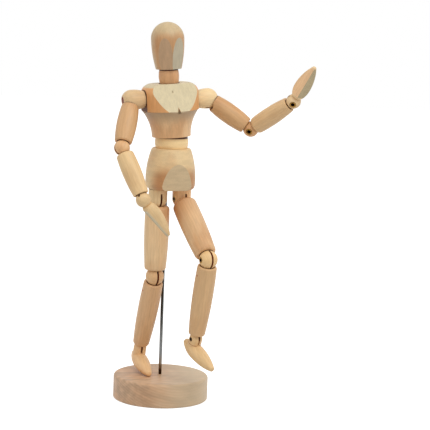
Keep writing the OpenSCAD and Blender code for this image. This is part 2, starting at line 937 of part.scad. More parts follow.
module forearm(s) {
    low = forearm_l - arm_rim;
    color(pale_wood)
    multmatrix(forearm_at(s))
    difference() {
        turned_limb(arm_rim, low, forearm_d, forearm_wide, forearm_low_d, 1.8, 0.5);
        sphere(elbow_r + seat_gap);
        tongue_pocket(arm_tongue_w, arm_rim + tongue_grip);
        translate([0, 0, -forearm_l]) {
            sphere(wrist_r + seat_gap);
            stem_bore(arm_stem_d / 2, 0, wrist_r + stem_l);
        }
    }
}

module elbow_tongue(s) {
    color(steel)
    multmatrix(forearm_at(s))
    tongue(arm_tongue_w, arm_tongue_r, arm_rim + tongue_grip, arm_rivet_d / 2 + run_gap);
}

// Tongue on a swivel stem that points up into the limb above a ball
module stem_tongue(ball_r) {
    hole_r = arm_rivet_d / 2 + run_gap;
    top = sqrt(ball_r * ball_r - arm_tongue_w * arm_tongue_w / 4) - 0.2;
    neck_w = arm_stem_d - 1;
    mirror([0, 0, 1])
    tongue(arm_tongue_w, arm_tongue_r, top, hole_r);
    translate([-tongue_t / 2, -neck_w / 2, top - 1])
    cube([tongue_t, neck_w, ball_r - top + 2]);
    stem(arm_stem_d / 2, ball_r + seat_gap, ball_r + stem_l);
}

module wrist_tongue(s) {
    color(steel)
    multmatrix(wrist_at(s))
    stem_tongue(wrist_r);
}

// Slot of the wrist ball, which reaches far round on the side that the hand bends to
module wrist_slot(eye) {
    intersection() {
        translate([-slot_w / 2, -far, -eye])
        cube([slot_w, 2 * far, far]);
        union() {
            rotate([0, 90, 0])
            cylinder(r = eye, h = far, center = true);
            rotate([-wrist_back, 0, 0])
            translate([-far, -far, -far])
            cube([2 * far, far + arm_tongue_w / 2 + seat_gap, 2 * far]);
        }
    }
}

module hand(s) {
    color(pale_wood)
    multmatrix(hand_at(s))
    difference() {
        union() {
            sphere(wrist_r);
            translate([0, 0, -hand_wide])
            difference() {
                leaf(hand_d / 2, hand_l - hand_wide, 1.2, hand_wide - 4, 3.4);
                // Two planed faces on the inner side
                for (a = [-32, 32])
                rotate([0, 0, -s * 90 + a])
                planed_waste(1.6, hand_wide - hand_l, 3.8, 0);
            }
        }
        wrist_slot(arm_tongue_r + slot_play);
        rivet_hole(wrist_r, arm_rivet_d / 2, rivet_head_d / 2, s);
    }
}

module wrist_rivet(s) {
    color(brass)
    multmatrix(hand_at(s))
    rivet(wrist_r, arm_rivet_d / 2, rivet_head_d / 2, s);
}

// Legs

module hip_ball(s) {
    neck_l = hip_drop - seat_gap;
    color(mid_wood)
    multmatrix(hip_at(s))
    difference() {
        union() {
            sphere(hip_r);
            cylinder(r = hip_r, h = neck_l);
            stem(leg_stem_d / 2, neck_l - 1, hip_drop + stem_l);
        }
        slot(hip_r, leg_tongue_r + slot_play);
        rivet_hole(hip_r, leg_rivet_d / 2, rivet_head_d / 2, s);
    }
}

module hip_rivet(s) {
    color(brass)
    multmatrix(hip_at(s))
    rivet(hip_r, leg_rivet_d / 2, rivet_head_d / 2, s);
}

module thigh(s) {
    low = thigh_l - leg_rim;
    color(mid_wood)
    multmatrix(thigh_at(s))
    difference() {
        turned_limb(leg_rim, low, thigh_d, thigh_wide, thigh_low_d, 2.4, 1.8);
        sphere(hip_r + seat_gap);
        tongue_pocket(leg_tongue_w, leg_rim + tongue_grip);
        translate([0, 0, -thigh_l]) {
            sphere(knee_r + seat_gap);
            stem_bore(leg_stem_d / 2, 0, knee_r + stem_l);
        }
    }
}

module hip_tongue(s) {
    color(steel)
    multmatrix(thigh_at(s))
    tongue(leg_tongue_w, leg_tongue_r, leg_rim + tongue_grip, leg_rivet_d / 2 + run_gap);
}

module knee_ball(s) {
    color(pale_wood)
    multmatrix(knee_at(s))
    difference() {
        union() {
            sphere(knee_r);
            stem(leg_stem_d / 2, 0, knee_r + stem_l);
        }
        slot(knee_r, leg_tongue_r + slot_play);
        rivet_hole(knee_r, leg_rivet_d / 2, rivet_head_d / 2, s);
    }
}

module knee_rivet(s) {
    color(brass)
    multmatrix(knee_at(s))
    rivet(knee_r, leg_rivet_d / 2, rivet_head_d / 2, s);
}

module shin(s) {
    low = shin_l - ankle_rim;
    color(mid_wood)
    multmatrix(shin_at(s))
    difference() {
        turned_limb(leg_rim, low, shin_d, shin_wide, shin_low_d, 1.4, 1.2);
        sphere(knee_r + seat_gap);
        tongue_pocket(leg_tongue_w, leg_rim + tongue_grip);
        cross_pin(far);
        translate([0, 0, -shin_l]) {
            sphere(ankle_r + seat_gap);
            stem_bore(arm_stem_d / 2, 0, ankle_r + stem_l);
        }
    }
}

// Cross pin through the shin and its tongue
module cross_pin(l) {
    translate([0, 0, -leg_rim - tongue_grip + 2.2])
    rotate([0, 90, 0])
    cylinder(d = cross_pin_d, h = l, center = true);
}

module knee_tongue(s) {
    color(steel)
    multmatrix(shin_at(s))
    difference() {
        tongue(leg_tongue_w, leg_tongue_r, leg_rim + tongue_grip, leg_rivet_d / 2 + run_gap);
        cross_pin(far);
    }
}

module shin_pin(s) {
    color(warm_wood)
    multmatrix(shin_at(s))
    cross_pin(shin_d - 0.4);
}

module ankle_tongue(s) {
    color(steel)
    multmatrix(ankle_at(s))
    stem_tongue(ankle_r);
}

module foot(s) {
    color(pale_wood)
    multmatrix(foot_at(s))
    difference() {
        union() {
            sphere(ankle_r);
            translate([0, 0, -foot_drop])
            cylinder(r = ankle_r, h = foot_drop);
            intersection() {
                translate([0, -foot_wide, -foot_drop])
                rotate([-90, 0, 0])
                leaf(foot_w / 2, toe_run, toe_tip, heel_run, heel_tip);
                translate([-far, -far, -sole_drop])
                cube(2 * far);
            }
        }
        mirror([0, 0, 1])
        slot(ankle_r, arm_tongue_r + slot_play);
        rivet_hole(ankle_r, arm_rivet_d / 2, ankle_head_d / 2, s);
    }
}

module ankle_rivet(s) {
    color(brass)
    multmatrix(foot_at(s))
    rivet(ankle_r, arm_rivet_d / 2, ankle_head_d / 2, s);
}

base();
support_rod();
pelvis();
pelvis_plug();
spine_spring();
waist();
spine_plug();
chest();
chest_plug();
neck_spring();
neck();
neck_plug();
head();
shoulder_ball(right);  // shoulder_ball_right
shoulder_pin(right);  // shoulder_pin_right
upper_arm(right);  // upper_arm_right
shoulder_tongue(right);  // shoulder_tongue_right
elbow_ball(right);  // elbow_ball_right
elbow_rivet(right);  // elbow_rivet_right
forearm(right);  // forearm_right
elbow_tongue(right);  // elbow_tongue_right
wrist_tongue(right);  // wrist_tongue_right
hand(right);  // hand_right
wrist_rivet(right);  // wrist_rivet_right
shoulder_ball(left);  // shoulder_ball_left
shoulder_pin(left);  // shoulder_pin_left
upper_arm(left);  // upper_arm_left
shoulder_tongue(left);  // shoulder_tongue_left
elbow_ball(left);  // elbow_ball_left
elbow_rivet(left);  // elbow_rivet_left
forearm(left);  // forearm_left
elbow_tongue(left);  // elbow_tongue_left
wrist_tongue(left);  // wrist_tongue_left
hand(left);  // hand_left
wrist_rivet(left);  // wrist_rivet_left
hip_ball(right);  // hip_ball_right
hip_rivet(right);  // hip_rivet_right
thigh(right);  // thigh_right
hip_tongue(right);  // hip_tongue_right
knee_ball(right);  // knee_ball_right
knee_rivet(right);  // knee_rivet_right
shin(right);  // shin_right
knee_tongue(right);  // knee_tongue_right
shin_pin(right);  // shin_pin_right
ankle_tongue(right);  // ankle_tongue_right
foot(right);  // foot_right
ankle_rivet(right);  // ankle_rivet_right
hip_ball(left);  // hip_ball_left
hip_rivet(left);  // hip_rivet_left
thigh(left);  // thigh_left
hip_tongue(left);  // hip_tongue_left
knee_ball(left);  // knee_ball_left
knee_rivet(left);  // knee_rivet_left
shin(left);  // shin_left
knee_tongue(left);  // knee_tongue_left
shin_pin(left);  // shin_pin_left
ankle_tongue(left);  // ankle_tongue_left
foot(left);  // foot_left
ankle_rivet(left);  // ankle_rivet_left
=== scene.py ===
# %% [markdown]
# # A jointed wooden drawing figure
#
# The real figure is turned from pale beech: limbs, balls and a torso strung
# on rivets and springs, held up by a steel rod in a round base. The packed
# model already holds every solid in its place, so this lesson is about the
# looks: a camera, plain light, and wood whose grain follows each piece.
# Every cell after the first prints what it made, so that a slip shows at once.

# %% Load the imported figure
import json
import math

import bpy
from mathutils import Matrix, Vector


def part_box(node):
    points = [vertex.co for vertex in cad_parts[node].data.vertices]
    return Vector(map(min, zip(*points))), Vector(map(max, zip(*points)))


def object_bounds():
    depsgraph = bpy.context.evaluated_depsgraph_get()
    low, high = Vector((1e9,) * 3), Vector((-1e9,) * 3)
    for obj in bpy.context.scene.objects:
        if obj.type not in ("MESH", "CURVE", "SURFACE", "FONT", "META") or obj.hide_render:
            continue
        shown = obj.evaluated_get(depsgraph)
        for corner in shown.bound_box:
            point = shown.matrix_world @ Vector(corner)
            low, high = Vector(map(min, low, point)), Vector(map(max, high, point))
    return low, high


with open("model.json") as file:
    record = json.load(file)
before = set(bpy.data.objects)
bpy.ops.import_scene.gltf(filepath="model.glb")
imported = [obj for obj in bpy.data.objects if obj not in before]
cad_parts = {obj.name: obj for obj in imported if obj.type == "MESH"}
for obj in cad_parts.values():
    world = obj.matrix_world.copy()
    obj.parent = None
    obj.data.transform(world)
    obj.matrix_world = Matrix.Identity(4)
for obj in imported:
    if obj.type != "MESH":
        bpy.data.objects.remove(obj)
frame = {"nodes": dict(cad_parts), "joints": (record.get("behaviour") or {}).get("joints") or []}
cad_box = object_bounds()
nodes = frame["nodes"]

# %% [markdown]
# ## The camera
#
# The figure is seen from well back and a little above, so the view is almost
# free of perspective. A camera could be aimed with a tracking constraint, but
# three angles and a lens say the same thing and can be read at a glance: a
# turn, a tip downwards, and a slight roll.

# %% Place the camera
CAMERA_AT = Vector((0.0, -1.4, 0.3508))
TURN, TIP, ROLL = (math.radians(a) for a in (1.597, -8.159, 2.111))
LENS_MM = 148.56

ahead = Vector((math.sin(TURN) * math.cos(TIP),
                math.cos(TURN) * math.cos(TIP),
                math.sin(TIP)))
level = Vector((math.cos(TURN), -math.sin(TURN), 0.0))
right = math.cos(ROLL) * level + math.sin(ROLL) * level.cross(ahead)
up = right.cross(ahead)

camera = bpy.data.objects.new("camera", bpy.data.cameras.new("camera"))
camera.data.lens = LENS_MM
camera.matrix_world = (Matrix.Translation(CAMERA_AT)
                       @ Matrix((right, up, -ahead)).transposed().to_4x4())
scene = bpy.context.scene
scene.collection.objects.link(camera)
scene.camera = camera
scene.view_settings.view_transform = "Standard"
print(f"camera {CAMERA_AT.length:.2f} m from the base, lens {LENS_MM} mm")

# %% [markdown]
# ## Nodes without the clutter
#
# A material in Blender is a small graph. Building one by hand takes three
# lines a node, so two helpers keep the later cells short: one writes a colour
# the way a paint chart does, the other adds a node and either sets a socket
# or links it, whichever the value asks for.

# %% Helpers for colours and nodes
def paint(chart_code):
    """A chart code such as D8B080 as the linear colour that shaders use."""
    parts = [int(chart_code[i:i + 2], 16) / 255 for i in (0, 2, 4)]
    return [c / 12.92 if c <= 0.04045 else ((c + 0.055) / 1.055) ** 2.4
            for c in parts] + [1.0]


def add(tree, kind, sockets=None, **settings):
    """Adds a shader node; a socket's value is a number, a colour or a link."""
    node = tree.nodes.new("ShaderNode" + kind)
    for name, value in settings.items():
        setattr(node, name, value)
    for name, value in (sockets or {}).items():
        if isinstance(value, bpy.types.NodeSocket):
            tree.links.new(value, node.inputs[name])
        else:
            node.inputs[name].default_value = value
    return node


print("beech white renders as", [round(c, 3) for c in paint("EBCB98")[:3]])

# %% [markdown]
# ## Where each piece's grain runs
#
# On the real figure the fibres of a limb run along its length, because a
# lathe turns a stick. A texture in plain object coordinates would run straight
# up through bent arms and legs, so each piece gets a frame of its own. The
# joints give it for free: an elbow swivel turns about the upper arm's own
# axis, and the elbow hinge is square to it.

# %% Read the joints
joints = {j["name"]: j for j in frame["joints"]}


def pivot(name):
    """The point that a joint turns about."""
    return Vector(joints[name]["pos_m"])


def axis(name):
    """The direction that a joint turns about."""
    return Vector(joints[name]["axis"]).normalized()


def turning(along, across):
    """A rotation whose Z runs along the grain and whose X is the hinge."""
    z = along.normalized()
    x = (across - across.dot(z) * z).normalized()
    return Matrix((x, z.cross(x), z)).transposed()


print(f"{len(joints)} joints read")

# %% [markdown]
# ## Grain of the base and torso
#
# The torso pieces are turned upright, one above the other, so their grain
# follows the joints that turn about the spine. A joint's axis may be stored
# pointing up or down, and grain that ran downwards would put a tone meant for
# the top of a piece at its foot, so each axis is first made to point up. The
# base comes from a board: its grain lies down and leans a little.

# %% Stand the torso's grain upright
RISE = Vector((0.0, 0.0, 1.0))
BOARD_RUN = Vector((1.0, 0.1, -0.2))

grain = {"base": (Vector(), turning(BOARD_RUN, RISE))}
hips = pivot("hip_lift_left") - pivot("hip_lift_right")
shoulders = pivot("shoulder_raise_left") - pivot("shoulder_raise_right")
for piece, spot, along, across in (
        ("pelvis", "waist_bend", "pelvis_turn", hips),
        ("waist", "waist_bend", "pelvis_turn", hips),
        ("chest", "waist_bend", "waist_twist", shoulders),
        ("neck", "neck_nod", "neck_turn", shoulders),
        ("head", "neck_nod", "neck_turn", shoulders)):
    upright = axis(along) * math.copysign(1.0, axis(along).z)
    grain[piece] = (pivot(spot), turning(upright, across))
print(f"grain set for {len(grain)} pieces: base and torso")

# %% [markdown]
# ## Grain of the limbs
#
# A limb's stick lies along a swivel, and a hinge gives the second direction,
# so a table of joint names is enough. Hands and feet have no swivel beyond
# them. They could be given a direction by hand, but it is safer to measure:
# their grain runs from the ball to the tip, the point that lies farthest away.

# %% Lay the limbs' grain along their swivels
SIDES = ("right", "left")
STICKS = (
    ("shoulder_ball", "shoulder_raise", "shoulder_swing", "shoulder_raise"),
    ("upper_arm", "shoulder_raise", "elbow_swivel", "elbow_bend"),
    ("elbow_ball", "elbow_bend", "elbow_swivel", "elbow_bend"),
    ("forearm", "elbow_bend", "wrist_swivel", "wrist_bend"),
    ("hip_ball", "hip_lift", "hip_swivel", "hip_lift"),
    ("thigh", "hip_lift", "knee_swivel", "knee_bend"),
    ("knee_ball", "knee_bend", "knee_swivel", "knee_bend"),
    ("shin", "knee_bend", "ankle_swivel", "ankle_point"))


def far_corner(node, start):
    """The point of a piece that is farthest from start."""
    return max((v.co for v in nodes[node].data.vertices),
               key=lambda co: (co - start).length)


for s in SIDES:
    for piece, spot, along, across in STICKS:
        grain[f"{piece}_{s}"] = (pivot(f"{spot}_{s}"),
                                 turning(axis(f"{along}_{s}"),
                                         axis(f"{across}_{s}")))
    for piece, joint in (("hand", "wrist_bend"), ("foot", "ankle_point")):
        start = pivot(f"{joint}_{s}")
        tip = far_corner(f"{piece}_{s}", start)
        grain[f"{piece}_{s}"] = (start, turning(tip - start,
                                                axis(f"{joint}_{s}")))
print(f"grain set for {len(grain)} pieces with the limbs")

# %% [markdown]
# ## The planed faces
#
# Flat cuts give the figure its face, chest, hips and palms: after turning, the
# maker runs those sides over a sander, which leaves bare wood of another tone
# inside a crisp outline. They could be painted by hand, but a plane is easy to
# measure: faces that share one normal and one depth belong to one cut, and
# nothing of the piece stands in front of it. A hand is measured past its ball.

# %% Find the planed faces
PLANED_PIECES = ["head", "chest", "pelvis", "hand_right", "hand_left"]
SMALLEST_CUT = 40e-6
FLUSH = 0.00005
PAST_BALL = 0.008
END_GRAIN = 0.9


def planed_cuts(node):
    """(normal, depth) of each large flat cut along the grain."""
    start, turned = grain[node]
    run = turned.col[2]
    points = [v.co for v in nodes[node].data.vertices]
    if node.startswith("hand"):
        points = [p for p in points if (p - start).dot(run) > PAST_BALL]
    planes = {}
    for face in nodes[node].data.polygons:
        depth = face.normal.dot(face.center)
        plane = (*(round(c, 2) for c in face.normal), round(depth, 4))
        planes.setdefault(plane, []).append(
            (face.area, face.normal.copy(), depth))
    found = []
    for faces in planes.values():
        _, normal, depth = max(faces, key=lambda f: f[0])
        wide = sum(f[0] for f in faces) > SMALLEST_CUT
        if (wide and abs(normal.dot(run)) < END_GRAIN
                and all(normal.dot(p) - depth < FLUSH for p in points)):
            found.append((normal, depth))
    return found


cuts = {node: planed_cuts(node) for node in PLANED_PIECES}
for node, found in cuts.items():
    print(node, [tuple(round(c, 2) for c in normal) for normal, _ in found])

# %% [markdown]
# ## Tones of the bare cuts
#
# The sander does not leave the same tone everywhere. The chest is creamy, the
# face is browner on one side than on the other, the hips are tan, and the palms
# are warm above and greyer below. The two flats under the shoulder balls are
# painted brown as shade, since they lie in the narrow gaps under the balls.
# Each cut could have a name of its own, but the direction in which it faces is
# enough to tell them apart.

# %% Choose the bare tones
BARE_CREAM, BARE_GREY, BARE_HIP = "DBCBA5", "BFB399", "D2B992"
BARE_CHEEK, BARE_PALM, WARM_PALM = "C09D79", "C4B28C", "F9CD9D"
SHOULDER_GAP_SHADE = "6E4326"
SIDE_ON, SAME_TILT = 0.9, 0.01


def bare_tone(piece, normal):
    """The colour of the cut of a piece that faces along normal."""
    sideways = normal.dot(shoulders.normalized())
    if piece == "chest":
        # the flats beside the shoulder balls get painted shade
        return SHOULDER_GAP_SHADE if abs(sideways) > SIDE_ON else BARE_CREAM
    if piece == "head":
        return BARE_CHEEK if sideways < 0 else BARE_GREY
    if piece.startswith("hand"):
        highest = max(cut[0].z for cut in cuts[piece])
        return WARM_PALM if normal.z > highest - SAME_TILT else BARE_PALM
    return BARE_HIP


print("face tones", [bare_tone("head", normal) for normal, _ in cuts["head"]])

# %% [markdown]
# ## Turned beech
#
# Up close the wood shows a few things at different sizes: year rings a couple
# of millimetres apart, streaks, fine fibres, short dark flecks, and soft
# patches that the lathe burnished to honey. Each is one texture in the piece's
# own frame, most of them drawn out along the grain. The rings are cylinders
# about a pith that lies outside the stick, so they run straight on one side of
# a limb and close into long ovals on the other, as on real turned wood.

# %% Grain textures
RING_PITCH, WAVE_PER_PITCH = 0.0021, 0.314
PITH_TURN = 2.4
BOARD_TILT = (0.35, 0.2)
CLOUD_SHIFT, CLOUD_STRETCH = 0.3, 0.55
STREAK_SCALE, FIBRE_SCALE, FLECK_SCALE = 330.0, 1100.0, 2400.0


def textures(tree, local, seed, stretch, pith, coarse):
    """Rings, streaks, fibres, flecks and patches in a piece's own frame."""
    turn = PITH_TURN * seed
    board = add(tree, "Mapping",
                {"Vector": local,
                 "Location": (pith * math.cos(turn),
                              pith * math.sin(turn), seed),
                 "Rotation": (*BOARD_TILT, turn),
                 "Scale": (1.0, 1.0, stretch)}).outputs["Vector"]
    found = {"rings": add(
        tree, "TexWave",
        {"Vector": board, "Scale": WAVE_PER_PITCH / RING_PITCH,
         "Distortion": 2.4, "Detail": 2.0, "Detail Scale": 0.5},
        wave_type="RINGS", rings_direction="Z").outputs["Fac"]}
    for name, scale, detail in (("streaks", STREAK_SCALE * coarse, 2.0),
                                ("fibres", FIBRE_SCALE, 3.0),
                                ("flecks", FLECK_SCALE, 1.0)):
        found[name] = add(tree, "TexNoise",
                          {"Vector": board, "Scale": scale,
                           "Detail": detail}).outputs["Fac"]
    cloud = add(tree, "Mapping",
                {"Vector": local, "Location": (seed, CLOUD_SHIFT, seed),
                 "Scale": (1.0, 1.0, CLOUD_STRETCH)}).outputs["Vector"]
    found["patches"] = add(tree, "TexNoise",
                           {"Vector": cloud, "Scale": 60.0, "Detail": 2.0,
                            "Distortion": 0.3}).outputs["Fac"]
    return found


print(f"year rings about {1000 * RING_PITCH:.1f} mm apart")

# %% [markdown]
# ## Sums and blends
#
# The next layers are painted by measure: how far a spot lies from a pin, how
# deep below a cut, how high on a piece. Vertex paint could hold such masks,
# but a few sums in the graph stay sharp at any distance and need no finer
# mesh. One helper makes a soft step from a number, one mixes two colours by
# it, and two measure a spot along a direction or from a point.

# %% Helpers for sums and blends
def maths(tree, operation, *values):
    """A Math node on one, two or three numbers or links."""
    return add(tree, "Math", dict(enumerate(values)),
               operation=operation).outputs[0]


def fade(tree, value, low, high, to_low=0.0, to_high=1.0):
    """Maps value from low..high to to_low..to_high with soft ends."""
    return add(tree, "MapRange",
               {"Value": value, "From Min": low, "From Max": high,
                "To Min": to_low, "To Max": to_high},
               interpolation_type="SMOOTHSTEP").outputs["Result"]


def mix(tree, amount, first, second, blend="MIX"):
    """Mixes two colours by an amount."""
    return add(tree, "Mix", {0: amount, 6: first, 7: second},
               data_type="RGBA", blend_type=blend).outputs[2]


def dot(tree, vector, direction):
    """How far a vector reaches along a direction."""
    return add(tree, "VectorMath", {0: vector, 1: direction},
               operation="DOT_PRODUCT").outputs["Value"]


def distance(tree, spot, point):
    """The distance of a spot from a point, in metres."""
    return add(tree, "VectorMath", {0: spot, 1: point},
               operation="DISTANCE").outputs["Value"]


print("five helpers for sums and blends")

# %% [markdown]
# ## The ankle stub
#
# A foot is a leaf of wood with a short stub on top, and a fine line of painted
# shade rings the foot of the stub. The solid's saw slot is longer than the real
# one, to give the tongue inside it room, so the slot's painted shade ends
# early: below that level a centimetre is added to the distance that drives the
# shade, which puts it out of reach.
# The run from pin to toe slopes down by a known angle, and tipping back by it
# about the ankle's hinge gives the stub's direction. The right hinge points
# the other way, so there the direction leans towards the toe and the marks lie
# askew; a sign taken from the hinge would put that right.

# %% Mark the ankle stubs
# Red-brown painted shade, at the rims of slots and in the line on a stub.
RED_BROWN_SHADE = "9A4822"
FOOT_SLOPE = 18.4
STUB_R, STUB_SKIN = 0.0056, 0.0006
LINE_LEVEL, LINE_SHARE = -0.0038, 0.6
LINE_RIM, LINE_FULL = 0.0004, 0.0002
SLOT_SHADE_END, END_SOFT, OUT_OF_REACH = 0.0003, 0.0005, 0.01


def foot_up(node):
    """The direction along which levels on a foot's stub are measured."""
    turned = grain[node][1]
    lean = Matrix.Rotation(math.radians(FOOT_SLOPE), 3, turned.col[0])
    rise = lean @ turned.col[1]
    return rise * math.copysign(1.0, rise.z)


def stub_marks(tree, spot, colour, away, piece, hinge):
    """Adds the painted shade line on a stub, and ends the painted shade of its slot."""
    rise = foot_up(piece)
    height = maths(tree, "SUBTRACT", dot(tree, spot, rise),
                   rise.dot(pivot(hinge)))
    on_axis = add(tree, "VectorMath", {0: rise, "Scale": height},
                  operation="SCALE").outputs["Vector"]
    arm = add(tree, "VectorMath", {0: spot, 1: pivot(hinge)},
              operation="SUBTRACT").outputs["Vector"]
    off_line = maths(tree, "ABSOLUTE",
                     maths(tree, "SUBTRACT", height, LINE_LEVEL))
    # painted shade: a fine line round the foot of the stub
    line = maths(tree, "MULTIPLY",
                 fade(tree, off_line, LINE_RIM, LINE_FULL, 0.0, LINE_SHARE),
                 fade(tree, distance(tree, arm, on_axis),
                      STUB_R + STUB_SKIN, STUB_R))
    # below this level the slot's painted shade is put out of reach
    below = fade(tree, height, SLOT_SHADE_END, SLOT_SHADE_END - END_SOFT,
                 0.0, OUT_OF_REACH)
    return (mix(tree, line, colour, paint(RED_BROWN_SHADE)),
            maths(tree, "ADD", away, below))


for s in SIDES:
    lean = foot_up(f"foot_{s}").angle(grain[f"foot_{s}"][1].col[2])
    print(s, f"foot: levels at {math.degrees(lean):.1f} degrees to its run")

# %% [markdown]
# ## Painted shade in slots and seats
#
# A saw slot and the cup that holds a ball get painted shade inside: a slot is
# red-brown at its rim and almost black at the bottom, a cup dark brown. They
# could have faces and materials of their own, but both are round about a pin or
# a ball, so one distance tells how deep a spot lies. Nothing is painted on the
# outside of a ball, where the distance is the full radius. The slots of hips
# and knees stay red-brown to a greater depth before they turn dark.

# %% Shade the hollows
# Painted shade: near-black deep in slots and eyelet holes, dark brown in seats and gaps.
DEEP_SHADE, GAP_SHADE = "1A0B06", "4E2714"
SLOT_RIM, SLOT_FULL = 0.0002, 0.0005
DIM_DEPTH = {"knee_bend": 0.008, "hip_lift": 0.003}
USUAL_DIM, DIM_FROM = 0.0022, 0.3
SEAT_SKIN, SEAT_RIM = 0.0003, 0.0002
BALL_R = {"shoulder_raise": 0.0081, "elbow_bend": 0.00615,
          "wrist_bend": 0.0058, "hip_lift": 0.0074,
          "knee_bend": 0.00725, "ankle_point": 0.0052}


def nearest(node, point):
    """How close the surface of a piece comes to a point."""
    return min((v.co - point).length for v in nodes[node].data.vertices)


def hollow(tree, spot, colour, piece, slot, seats):
    """Paints shade into the slot of a ball and the seats of its neighbours."""
    if slot:
        hinge = slot.rpartition("_")[0]
        outside, dim = BALL_R[hinge], DIM_DEPTH.get(hinge, USUAL_DIM)
        away = distance(tree, spot, pivot(slot))
        if piece.startswith("foot"):
            colour, away = stub_marks(tree, spot, colour, away, piece, slot)
        # painted shade inside the slot: red-brown at its rim, near-black deeper in
        for near, deep, tone in ((SLOT_RIM, SLOT_FULL, RED_BROWN_SHADE),
                                 (DIM_FROM * dim, dim, DEEP_SHADE)):
            depth = fade(tree, away, outside - near, outside - deep)
            colour = mix(tree, depth, colour, paint(tone))
    # painted shade in the seats, where a neighbour's ball sits
    for joint in seats:
        edge = nearest(piece, pivot(joint)) + SEAT_SKIN
        away = distance(tree, spot, pivot(joint))
        colour = mix(tree, fade(tree, away, edge + SEAT_RIM, edge),
                     colour, paint(GAP_SHADE))
    return colour


print(f"slots are red-brown {1000 * SLOT_FULL} mm in,",
      f"and most are dark {1000 * USUAL_DIM} mm in")

# %% [markdown]
# ## Bare wood and the painted shade beside it
#
# Where the sander has been, the bare tone shows, and just beside a cut a warmer
# tone is painted as shade, where the turned surface turns away; on the right
# hand the same band is a pale grey edge. The depth of a spot below the plane of
# the cut drives both, so the outline is as crisp as the solid's own edge and
# needs no paint. The tone beside a cut shows only inside a band along the
# piece, and a crown tone above that band leaves the upward faces pale.

# %% Layers of a planed face
BARE_FROM, BARE_FULL = -0.00009, -0.00003
COLLAR_FULL = 0.2
BAND_SOFT = 0.001


def planed_layers(tree, spot, piece, collar, collar_share):
    """Tone beside a piece's cuts, their bare tone, and where it shows."""
    beside_cut, bare, shown = 0.0, None, None
    for normal, depth in cuts[piece]:
        under = maths(tree, "SUBTRACT", dot(tree, spot, normal), depth)
        tone = bare_tone(piece, normal)
        if tone != SHOULDER_GAP_SHADE:
            # beside the cut: painted warm shade on most pieces, a pale grey edge on the right
            # hand
            beside = fade(tree, under, -collar, -COLLAR_FULL * collar,
                          0.0, collar_share)
            beside_cut = maths(tree, "MAXIMUM", beside_cut, beside)
        flat = fade(tree, under, BARE_FROM, BARE_FULL)
        if bare is None:
            bare, shown = paint(tone), flat
        else:
            bare = mix(tree, flat, bare, paint(tone))
            shown = maths(tree, "MAXIMUM", shown, flat)
    return beside_cut, bare, shown


def banded(tree, colour, along, beside_cut, band, crown, beside_tone):
    """Tone beside the cuts inside a band along the piece, and a crown tone above it."""
    low, high, soft = band
    above = fade(tree, along, high - soft, high + soft)
    if crown:
        colour = mix(tree, above, colour, paint(crown))
    kept = maths(tree, "MULTIPLY", fade(tree, along, low - BAND_SOFT, low),
                 maths(tree, "SUBTRACT", 1.0, above))
    return mix(tree, maths(tree, "MULTIPLY", beside_cut, kept),
               colour, paint(beside_tone))


print(f"bare wood ends {-1e6 * BARE_FROM:.0f} micrometres below a cut")

# %% [markdown]
# ## The wood finish
#
# One function puts the layers together: ring tones, honey, bare cuts, streaks,
# fibres and flecks, hollows. The fine grain multiplies what lies under it, so
# that it shows on pale and on burnished wood alike. A thin coat stands for the
# wax, and the fibres give a very low relief.

# %% Wood finish
HONEY = "C4844A"
PATCH_SPAN, STREAK_SPAN = (0.45, 0.7), (0.32, 0.68)
FIBRE_SPAN, FIBRE_TONES = (0.3, 0.7), (0.95, 1.04)
FLECK_SPAN, FLECK_TONES = (0.66, 0.74), (1.0, 0.88)
WAXED_ROUGH, SANDED_MORE = (0.45, 0.58), 0.2
GAP_SHADE_FROM, GAP_SHADE_FULL = -0.0003, 0.0002
PALM_FROM = 0.9 * PAST_BALL


def new_finish(name):
    """A fresh material, its graph and its main shader."""
    finish = bpy.data.materials.new(name)
    finish.use_nodes = True
    return finish, finish.node_tree, finish.node_tree.nodes["Principled BSDF"]


def fine_grain(tree, colour, show, streak):
    """Multiplies streaks, fibres and flecks into a colour."""
    streaked = maths(tree, "MULTIPLY",
                     fade(tree, show["streaks"], *STREAK_SPAN,
                          1 - streak, 1 + streak),
                     fade(tree, show["fibres"], *FIBRE_SPAN, *FIBRE_TONES))
    flecked = fade(tree, show["flecks"], *FLECK_SPAN, *FLECK_TONES)
    return mix(tree, 1.0, colour,
               maths(tree, "MULTIPLY", streaked, flecked), "MULTIPLY")


